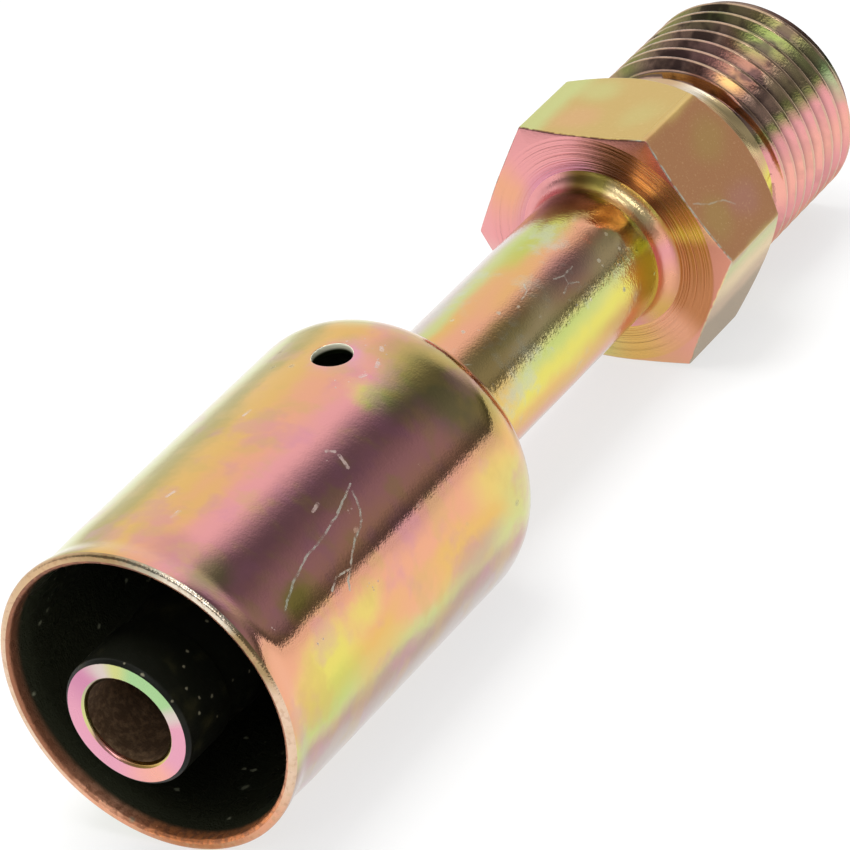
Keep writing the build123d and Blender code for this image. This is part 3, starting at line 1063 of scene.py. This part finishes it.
def flats_plate():
    """Plating on the flats of the hex: satin, and dull and grainy on the one at the front; painted shade on the
    lower flat, and painted highlight and shade along the edge at the face.
    """
    material, paint, shader, place = new_material("hex_flats_plate")
    loose = wander(paint, place, 5.0, 1.6)
    colour = tint_bands(paint, loose, FLAT_BANDS_AND_SHADE)
    patches = [
        (-10.6, 80, 2.6, 2.4, "salmon", 0.35),
        (-6.0, 76, 2.4, 2.6, "straw", 0.6),
        (-9.0, 108, 3.0, 2.0, "straw", 0.3),
        (-6.6, 136, 3.0, 2.4, "olive", 0.35),
        (-11.4, 164, 2.4, 2.4, "olive", 0.35),
        (-7.5, 166, 2.6, 2.0, "mauve", 0.3),
    ]
    colour = tint_patches(paint, loose, colour, HEX_APOTHEM, patches)
    grains = paint.noise(place, 5200.0, detail=4.0, roughness=0.7)
    colour = paint.mix(paint.fade(grains, 0.55, 0.75, 0.0, 0.4), colour, linear(*TINTS["cream"]))
    mark = [on_axis(x, degrees, HEX_APOTHEM / cos(radians(degrees - 150))) for x, degrees in FLAT_SCRATCH]
    colour, scratch = scratches(paint, place, colour, [mark], 0.2, "frost", 0.4)
    axes = paint.split(place)
    flat_place = paint.node("CombineXYZ", {1: axes["Y"], 2: axes["Z"]}).outputs[0]
    over = paint.maths("SUBTRACT", paint.vector("LENGTH", flat_place), HEX_FACE_RADIUS * MM)
    face_edge = paint.maths("ADD", HEX_BACK * MM, paint.maths("MULTIPLY", over, tan(BACK_CHAMFER)))
    from_face = paint.maths("SUBTRACT", axes["X"], face_edge)
    # Painted highlight and shade along the edge that meets the face.
    nearness = paint.fade(from_face, 0.06 * MM, 0.18 * MM, 1.0, 0.0)
    colour = painted_edge_light(paint, place, colour, nearness)
    turn = paint.turn(place)
    dull = paint.maths("MULTIPLY", paint.fade(turn, 0.325, 0.335), paint.fade(turn, 0.498, 0.502, 1.0, 0.0))
    paint.fill(shader.inputs["Base Color"], colour)
    paint.fill(shader.inputs["Roughness"], paint.fade(dull, 0.0, 1.0, 0.27, 0.5))
    paint.fill(shader.inputs["Metallic"], paint.fade(dull, 0.0, 1.0, 1.0, 0.55))
    bump = paint.node("Bump", {"Height": grains, "Distance": 0.00008,
                               "Strength": paint.fade(dull, 0.0, 1.0, 0.12, 0.5)})
    paint.fill(shader.inputs["Normal"], bump.outputs["Normal"])
    return material


# Walnut from 108 to 132 degrees darkens the upper flanks: painted shade.
THREAD_BANDS_AND_SHADE = [
    (0, "pink"), (30, "pink"), (60, "moss"), (80, "tan"), (98, "tan"), (108, "walnut"),
    (132, "walnut"), (139, "tan"), (147, "tan"), (153, "moss"), (165, "pink"), (185, "peach"),
    (205, "pink"), (230, "salmon"), (265, "gold"), (300, "pink"), (335, "green"),
]
THREAD_PATCHES = [
    (9.8, 84, 2.8, 3.0, "green", 0.8),
    (10.2, 104, 2.6, 3.0, "moss", 0.6),
    (8.6, 120, 3.6, 3.2, "green", 0.85),
    (10.2, 140, 3.0, 3.2, "green", 0.7),
    (6.4, 146, 3.0, 2.2, "moss", 0.5),
    (11.6, 158, 1.6, 2.4, "mint", 0.7),
    (3.2, 96, 2.4, 3.0, "mauve", 0.5),
    (1.6, 124, 1.8, 1.8, "gold", 0.5),
]


def thread_plate():
    """Plating of the thread: painted shade down in the roots and in blots on the upper side, and a painted
    highlight along the crests.
    """
    material, paint, shader, place = new_material("thread_plate")
    loose = wander(paint, place, 3.0, 2.4)
    colour = tint_bands(paint, loose, THREAD_BANDS_AND_SHADE)
    colour = tint_patches(paint, loose, colour, THREAD_RADIUS, THREAD_PATCHES)
    axes = paint.split(place)
    flat_place = paint.node("CombineXYZ", {1: axes["Y"], 2: axes["Z"]}).outputs[0]
    radius = paint.vector("LENGTH", flat_place)
    # Painted shade down in the roots.
    root = paint.fade(radius, (THREAD_RADIUS - THREAD_DEPTH) * MM, (THREAD_RADIUS - 0.3) * MM, 0.7, 0.0)
    root = paint.maths("MULTIPLY", root, paint.fade(axes["X"], 0.2 * MM, 0.9 * MM))
    colour = paint.mix(root, colour, linear(84, 68, 68))
    crest = paint.fade(radius, (THREAD_RADIUS - 0.1) * MM, (THREAD_RADIUS - 0.02) * MM)
    # Dark blots, much stronger on the upper side: painted shade.
    blots_and_shade = paint.fade(paint.noise(paint.stretch(place, (1.4, 1.0, 1.0)), 300.0, detail=3.0), 0.5, 0.6)
    turn = paint.turn(place)
    shaded_upper_side = paint.maths("MULTIPLY", paint.fade(turn, 0.1, 0.17), paint.fade(turn, 0.36, 0.44, 1.0, 0.0))
    strength = paint.maths("MULTIPLY", blots_and_shade, paint.fade(shaded_upper_side, 0.0, 1.0, 0.12, 0.75))
    colour = paint.mix(strength, colour, linear(66, 50, 52))
    # Painted highlight along the crests.
    crest_highlight = paint.fade(paint.noise(place, 700.0, detail=3.0), 0.35, 0.6, 0.25, 0.75)
    colour = paint.mix(paint.maths("MULTIPLY", crest, crest_highlight), colour, linear(206, 174, 146))
    finish_metal(paint, shader, place, colour, 0.17, 0.15, 0.2)
    return material


def tip_plate():
    """Pink plating on the end of the nipple, green at its upper right."""
    material, paint, shader, place = new_material("tip_plate")
    loose = wander(paint, place, 3.0, 1.2)
    bands = [(0, "rose"), (50, "orchid"), (75, "lavender"), (95, "straw"), (112, "mint"),
             (150, "mint"), (165, "lavender"), (180, "rose"), (215, "rose"), (250, "peach"),
             (300, "rose"), (335, "rose")]
    colour = tint_bands(paint, loose, bands)
    finish_metal(paint, shader, place, colour, 0.24, 0.3, 0.2)
    return material


def bore_plate():
    """Inside of the flow passage: rough, dark brown and dusty."""
    material, paint, shader, place = new_material("bore_plate")
    cloud = paint.noise(place, 1800.0, detail=4.0, roughness=0.7)
    colour = paint.mix(paint.fade(cloud, 0.4, 0.7), linear(88, 67, 48), linear(132, 106, 80))
    finish_metal(paint, shader, place, colour, 0.5, 0.5, 0.6)
    shader.inputs["Metallic"].default_value = 0.2
    return material


# Studio

def make_camera():
    """Camera at the photograph's place, angle and framing."""
    data = bpy.data.cameras.new("camera")
    data.lens = CAMERA_LENS
    data.sensor_width = 36
    data.clip_start = 0.01
    camera = bpy.data.objects.new("camera", data)
    camera.location = [value * MM for value in CAMERA_PLACE]
    camera.rotation_euler = [radians(value) for value in CAMERA_TURN]
    bpy.context.scene.collection.objects.link(camera)
    bpy.context.scene.camera = camera


def make_world():
    """White for the camera; for the metal a bright side wall and a dim rest of the room."""
    world = bpy.data.worlds.new("studio")
    bpy.context.scene.world = world
    world.use_nodes = True
    paint = Paint(world.node_tree)
    direction = paint.node("TexCoord").outputs["Generated"]
    axes = paint.split(direction)
    wall = (cos(radians(WALL_TURN)), sin(radians(WALL_TURN)), 0)
    flatness = paint.maths("SQRT", paint.maths("SUBTRACT", 1.0001, paint.maths("POWER", axes["Z"], 2.0)))
    towards_wall = paint.maths("DIVIDE", paint.vector("DOT_PRODUCT", direction, wall), flatness)
    lit = paint.fade(towards_wall, cos(radians(WALL_SPREAD + 16)), cos(radians(WALL_SPREAD - 16)))
    dim = paint.ramp(axes["Z"], [(height, (level, level, level, 1)) for height, level in ROOM_LEVELS])
    light = paint.mix(lit, dim, (1, 1, 1, 1))
    seen = paint.node("LightPath").outputs["Is Camera Ray"]
    background = world.node_tree.nodes["Background"]
    paint.fill(background.inputs["Color"], paint.mix(seen, light, (1, 1, 1, 1)))


def make_floor():
    """White floor under the fitting's lip and hex, which keeps the soft shadow."""
    slope = (LIP_RADIUS - HEX_APOTHEM) / (HEX_FRONT - SHELL_MOUTH)
    corners = [(-1, -1), (1, -1), (1, 1), (-1, 1)]
    points = []
    for x, y in corners:
        height = -LIP_RADIUS - FLOOR_GAP + slope * (x * FLOOR_REACH - SHELL_MOUTH)
        points.append((x * FLOOR_REACH * MM, y * FLOOR_REACH * MM, height * MM))
    mesh = bpy.data.meshes.new("floor")
    mesh.from_pydata(points, [], [(0, 1, 2, 3)])
    floor = bpy.data.objects.new("floor", mesh)
    bpy.context.scene.collection.objects.link(floor)
    material, paint, shader, place = new_material("floor_white")
    shader.inputs["Metallic"].default_value = 0.0
    shader.inputs["Base Color"].default_value = (0.9, 0.9, 0.9, 1)
    shader.inputs["Roughness"].default_value = 0.9
    shader.inputs["Specular IOR Level"].default_value = 0.0
    rays = paint.node("LightPath").outputs
    seen = paint.maths("MAXIMUM", rays["Is Camera Ray"], rays["Is Glossy Ray"])
    glow = paint.node("Emission", {"Color": (1, 1, 1, 1), "Strength": 1.0})
    both = paint.node("MixShader", {0: paint.maths("MULTIPLY", seen, 0.7)})
    paint.tree.links.new(shader.outputs[0], both.inputs[1])
    paint.tree.links.new(glow.outputs[0], both.inputs[2])
    paint.tree.links.new(both.outputs[0], paint.tree.nodes["Material Output"].inputs["Surface"])
    floor.data.materials.append(material)


def add_lamp(name, place, aim, size, energy):
    """Soft rectangular lamp at a place in mm, facing another, with its width and height."""
    data = bpy.data.lights.new(name, "AREA")
    data.shape = "RECTANGLE"
    data.size = size[0] * MM
    data.size_y = size[1] * MM
    data.energy = energy
    lamp = bpy.data.objects.new(name, data)
    lamp.location = Vector(place) * MM
    lamp.rotation_euler = (Vector(aim) - Vector(place)).to_track_quat("-Z", "Y").to_euler()
    bpy.context.scene.collection.objects.link(lamp)
    return lamp


def main():
    """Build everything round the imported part."""
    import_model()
    bpy.context.scene.view_settings.view_transform = "Standard"
    flats = flats_plate()
    thread = thread_plate()
    tube = tube_plate()
    bore = bore_plate()
    inside = lining()
    shell_skin = shell_plate()
    stem = stem_mesh({
        "bore": bore, "end": thread, "thread": thread, "relief": relief_plate(), "front": flats,
        "flats": flats, "face": face_plate(), "neck": neck_plate(), "tube": tube,
        "nipple": nipple_painted_shade(), "tip": tip_plate(),
    })
    shell = shell_mesh({
        "outside": shell_skin, "rim": rim_plate(), "inside": inside, "hole": hole_painted_light(),
    })
    for piece, name in ((stem, "stem"), (shell, "shell")):
        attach(piece, "root")
        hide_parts(name)
    make_camera()
    make_world()
    overhead = add_lamp("overhead", (-42, 60, 420), (-40, 0, 0), (260, 260), 1.6)
    overhead.visible_glossy = False
    add_lamp("softbox", (-330, -105, 262), (-30, 0, 0), (250, 120), 0.25)
    add_lamp("spark", (-62, -128, 400), (-40, 0, 0), (60, 60), 0.09)
    make_floor()


main()
